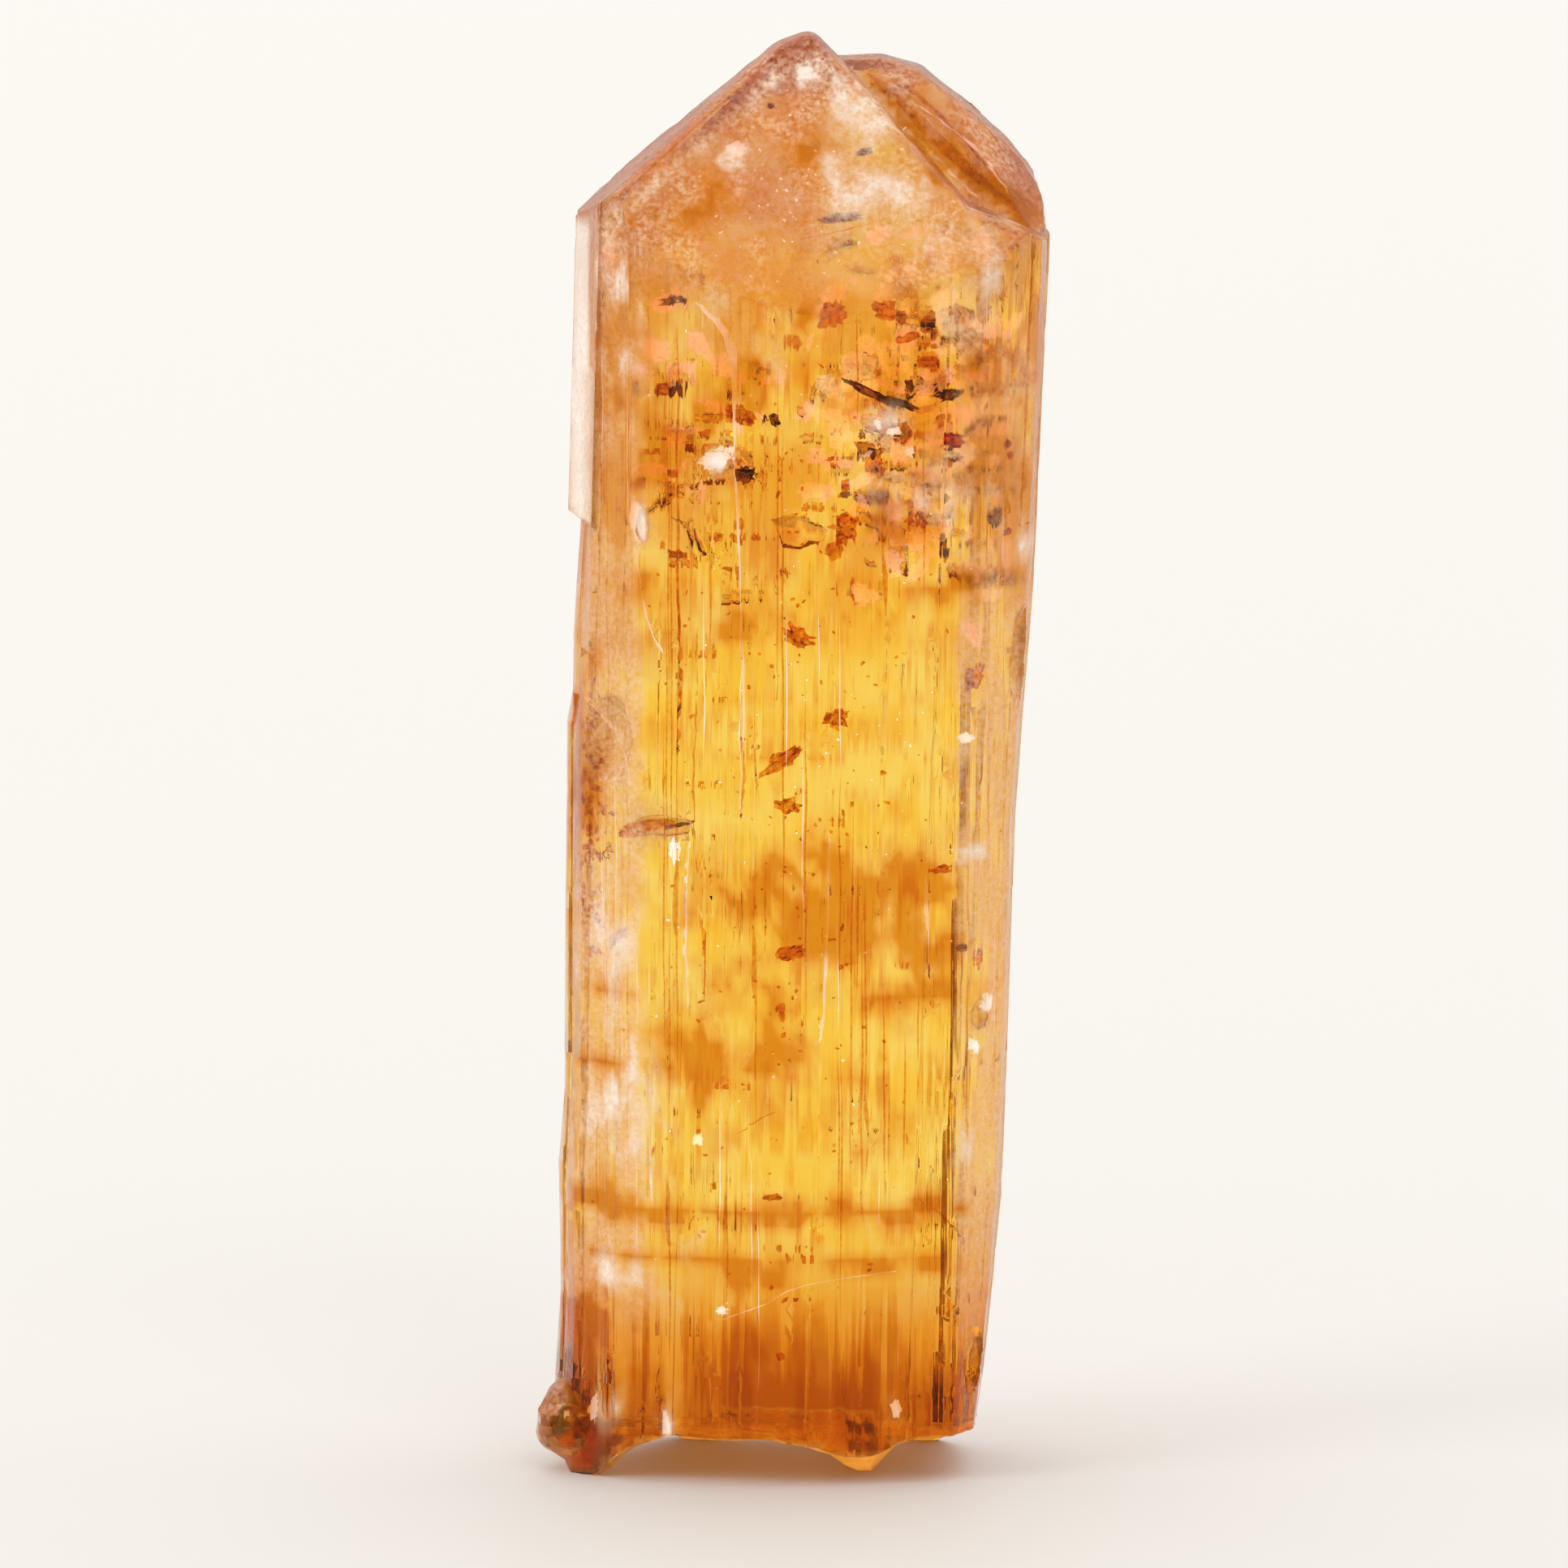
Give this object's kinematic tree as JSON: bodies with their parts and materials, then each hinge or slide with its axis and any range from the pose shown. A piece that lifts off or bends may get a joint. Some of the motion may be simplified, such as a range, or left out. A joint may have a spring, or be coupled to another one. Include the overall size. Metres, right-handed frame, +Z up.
{
  "type": "imperial topaz crystal",
  "caption": "Clear orange topaz crystal: a long striated prism with a sloped, pointed top, a second point beside it and a hollow broken base.",
  "frame": {"origin": "centre of the bounding box at the level of the feet it stands on", "axes": "+X across the broad front face to the viewer's right, -Y out of the front face, +Z up along the prism"},
  "size_m": [0.013, 0.0082, 0.0361],
  "materials": {
    "topaz": "clear orange crystal with a soft shine"
  },
  "bodies": {
    "root": {"crystal": "topaz"}
  },
  "joints": []
}
